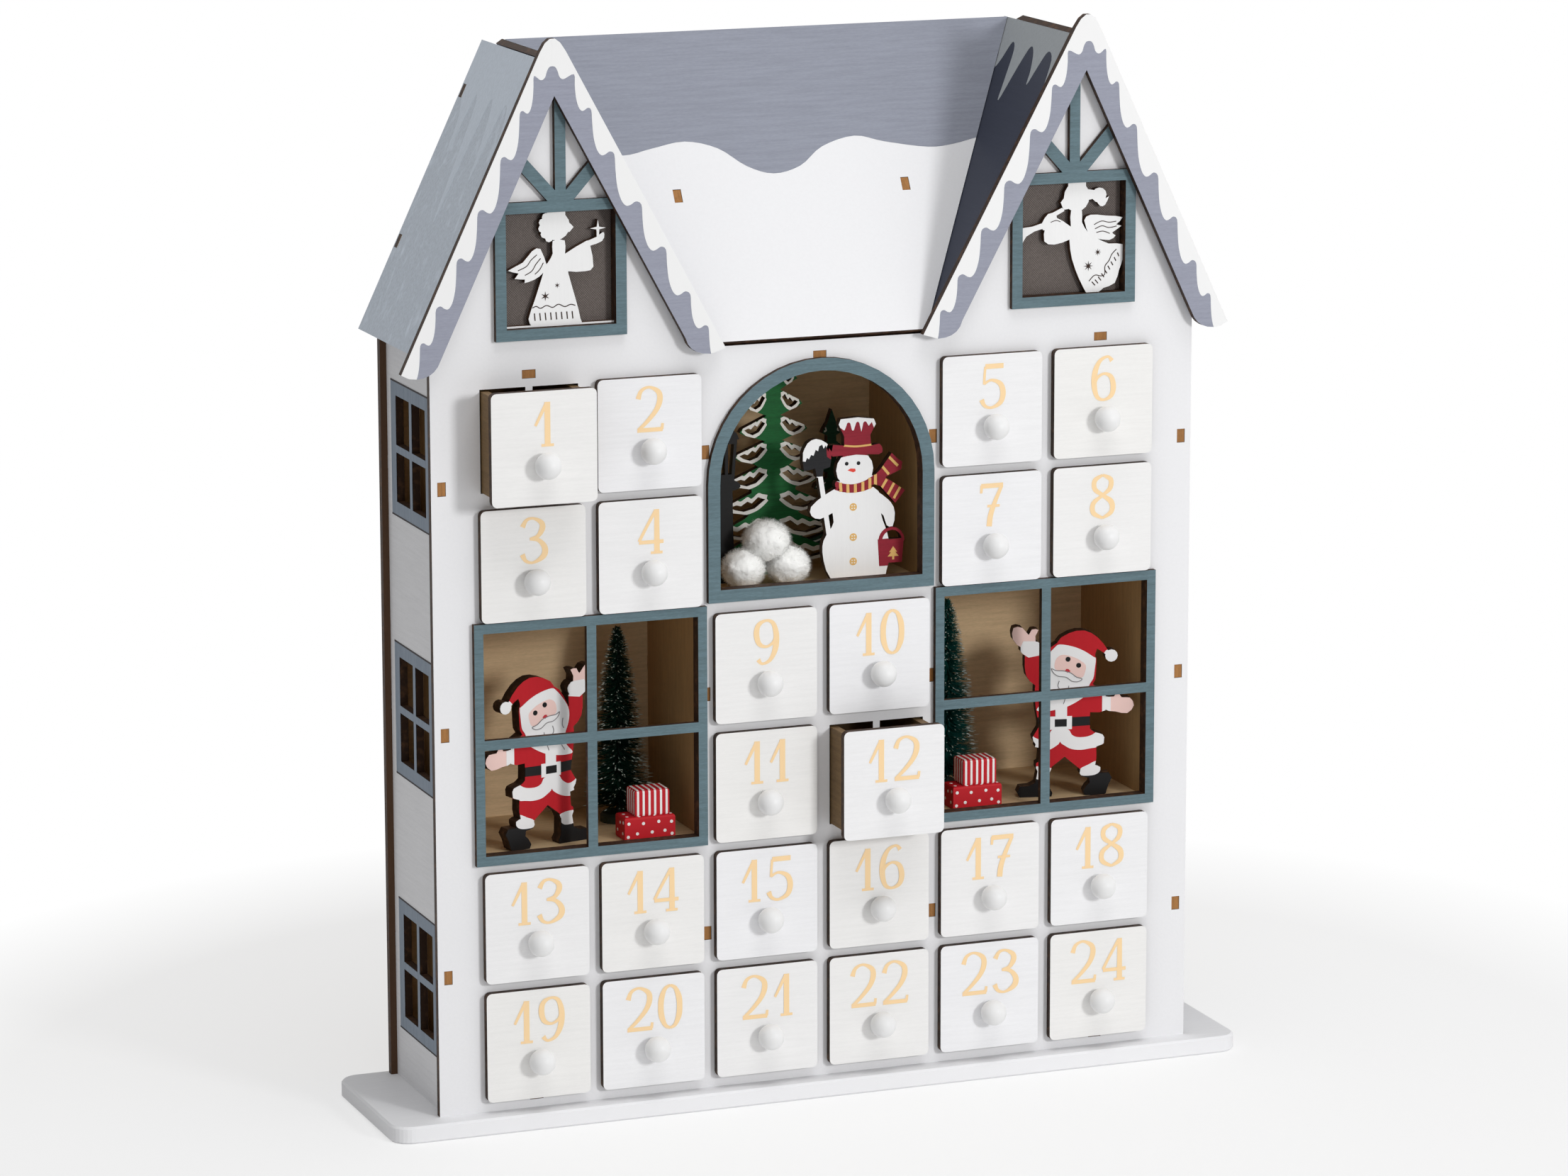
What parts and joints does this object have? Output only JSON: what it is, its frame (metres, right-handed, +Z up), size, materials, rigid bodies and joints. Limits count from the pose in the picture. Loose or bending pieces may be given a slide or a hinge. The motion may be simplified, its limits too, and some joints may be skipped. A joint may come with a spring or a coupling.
{
  "type": "advent calendar",
  "caption": "Wooden house-shaped advent calendar with twin gables, pull-out number drawers and open scenes with a snowman, Santa figures and trees",
  "frame": {"origin": "underside of the base board, in the plane of the front panel's face, midway between the sides", "axes": "+X to the viewer's right, -Y to the front where the drawers slide out, +Z up"},
  "size_m": [0.34, 0.0918, 0.4018],
  "materials": {
    "white_paint": "matt white paint on laser-cut plywood",
    "plywood": "bare birch plywood",
    "slate_paint": "matt blue-grey stain",
    "lavender_print": "printed lavender grey with white snow",
    "roof_print": "printed weathered grey",
    "printed_board": "printed plywood figure",
    "green_board": "printed green plywood",
    "bristle": "dyed bristles on a wire stem",
    "cotton": "fluffy white balls"
  },
  "bodies": {
    "house": {"base_board": "white_paint", "front_panel": "white_paint", "back_panel": "plywood", "bottom_shelf": "plywood", "lower_shelf": "plywood", "window_shelf": "plywood", "centre_shelf": "plywood", "arch_shelf": "plywood", "top_shelf": "plywood", "main_roof": "white_paint", "arch_frame": "slate_paint", "snowman": "printed_board", "fir_tree_panel": "green_board", "cotton_balls": "cotton", "left_wall": "white_paint", "left_inner_wall": "plywood", "left_divider": "plywood", "left_gable_outer_slope": "roof_print", "left_gable_inner_slope": "roof_print", "left_bargeboard": "lavender_print", "left_window_frame": "slate_paint", "left_gable_frame": "slate_paint", "left_angel": "printed_board", "left_santa": "printed_board", "left_brush_tree": "bristle", "right_wall": "white_paint", "right_inner_wall": "plywood", "right_divider": "plywood", "right_gable_outer_slope": "roof_print", "right_gable_inner_slope": "roof_print", "right_bargeboard": "lavender_print", "right_window_frame": "slate_paint", "right_gable_frame": "slate_paint", "right_angel": "printed_board", "right_santa": "printed_board", "right_brush_tree": "bristle"},
    "drawer_01": {"drawer_01": "white_paint"},
    "drawer_02": {"drawer_02": "white_paint"},
    "drawer_03": {"drawer_03": "white_paint"},
    "drawer_04": {"drawer_04": "white_paint"},
    "drawer_05": {"drawer_05": "white_paint"},
    "drawer_06": {"drawer_06": "white_paint"},
    "drawer_07": {"drawer_07": "white_paint"},
    "drawer_08": {"drawer_08": "white_paint"},
    "drawer_09": {"drawer_09": "white_paint"},
    "drawer_10": {"drawer_10": "white_paint"},
    "drawer_11": {"drawer_11": "white_paint"},
    "drawer_12": {"drawer_12": "white_paint"},
    "drawer_13": {"drawer_13": "white_paint"},
    "drawer_14": {"drawer_14": "white_paint"},
    "drawer_15": {"drawer_15": "white_paint"},
    "drawer_16": {"drawer_16": "white_paint"},
    "drawer_17": {"drawer_17": "white_paint"},
    "drawer_18": {"drawer_18": "white_paint"},
    "drawer_19": {"drawer_19": "white_paint"},
    "drawer_20": {"drawer_20": "white_paint"},
    "drawer_21": {"drawer_21": "white_paint"},
    "drawer_22": {"drawer_22": "white_paint"},
    "drawer_23": {"drawer_23": "white_paint"},
    "drawer_24": {"drawer_24": "white_paint"}
  },
  "joints": [
    {"name": "drawer_01_slide", "type": "slide", "parent": "house", "child": "drawer_01", "axis": [0, -1, 0], "range_m": [-0.0135, 0.0299]},
    {"name": "drawer_02_slide", "type": "slide", "parent": "house", "child": "drawer_02", "axis": [0, -1, 0], "range_m": [0, 0.0434]},
    {"name": "drawer_03_slide", "type": "slide", "parent": "house", "child": "drawer_03", "axis": [0, -1, 0], "range_m": [0, 0.0434]},
    {"name": "drawer_04_slide", "type": "slide", "parent": "house", "child": "drawer_04", "axis": [0, -1, 0], "range_m": [0, 0.0434]},
    {"name": "drawer_05_slide", "type": "slide", "parent": "house", "child": "drawer_05", "axis": [0, -1, 0], "range_m": [0, 0.0434]},
    {"name": "drawer_06_slide", "type": "slide", "parent": "house", "child": "drawer_06", "axis": [0, -1, 0], "range_m": [0, 0.0434]},
    {"name": "drawer_07_slide", "type": "slide", "parent": "house", "child": "drawer_07", "axis": [0, -1, 0], "range_m": [0, 0.0434]},
    {"name": "drawer_08_slide", "type": "slide", "parent": "house", "child": "drawer_08", "axis": [0, -1, 0], "range_m": [0, 0.0434]},
    {"name": "drawer_09_slide", "type": "slide", "parent": "house", "child": "drawer_09", "axis": [0, -1, 0], "range_m": [0, 0.0434]},
    {"name": "drawer_10_slide", "type": "slide", "parent": "house", "child": "drawer_10", "axis": [0, -1, 0], "range_m": [0, 0.0434]},
    {"name": "drawer_11_slide", "type": "slide", "parent": "house", "child": "drawer_11", "axis": [0, -1, 0], "range_m": [0, 0.0434]},
    {"name": "drawer_12_slide", "type": "slide", "parent": "house", "child": "drawer_12", "axis": [0, -1, 0], "range_m": [-0.0146, 0.0288]},
    {"name": "drawer_13_slide", "type": "slide", "parent": "house", "child": "drawer_13", "axis": [0, -1, 0], "range_m": [0, 0.0434]},
    {"name": "drawer_14_slide", "type": "slide", "parent": "house", "child": "drawer_14", "axis": [0, -1, 0], "range_m": [0, 0.0434]},
    {"name": "drawer_15_slide", "type": "slide", "parent": "house", "child": "drawer_15", "axis": [0, -1, 0], "range_m": [0, 0.0434]},
    {"name": "drawer_16_slide", "type": "slide", "parent": "house", "child": "drawer_16", "axis": [0, -1, 0], "range_m": [0, 0.0434]},
    {"name": "drawer_17_slide", "type": "slide", "parent": "house", "child": "drawer_17", "axis": [0, -1, 0], "range_m": [0, 0.0434]},
    {"name": "drawer_18_slide", "type": "slide", "parent": "house", "child": "drawer_18", "axis": [0, -1, 0], "range_m": [0, 0.0434]},
    {"name": "drawer_19_slide", "type": "slide", "parent": "house", "child": "drawer_19", "axis": [0, -1, 0], "range_m": [0, 0.0434]},
    {"name": "drawer_20_slide", "type": "slide", "parent": "house", "child": "drawer_20", "axis": [0, -1, 0], "range_m": [0, 0.0434]},
    {"name": "drawer_21_slide", "type": "slide", "parent": "house", "child": "drawer_21", "axis": [0, -1, 0], "range_m": [0, 0.0434]},
    {"name": "drawer_22_slide", "type": "slide", "parent": "house", "child": "drawer_22", "axis": [0, -1, 0], "range_m": [0, 0.0434]},
    {"name": "drawer_23_slide", "type": "slide", "parent": "house", "child": "drawer_23", "axis": [0, -1, 0], "range_m": [0, 0.0434]},
    {"name": "drawer_24_slide", "type": "slide", "parent": "house", "child": "drawer_24", "axis": [0, -1, 0], "range_m": [0, 0.0434]}
  ]
}
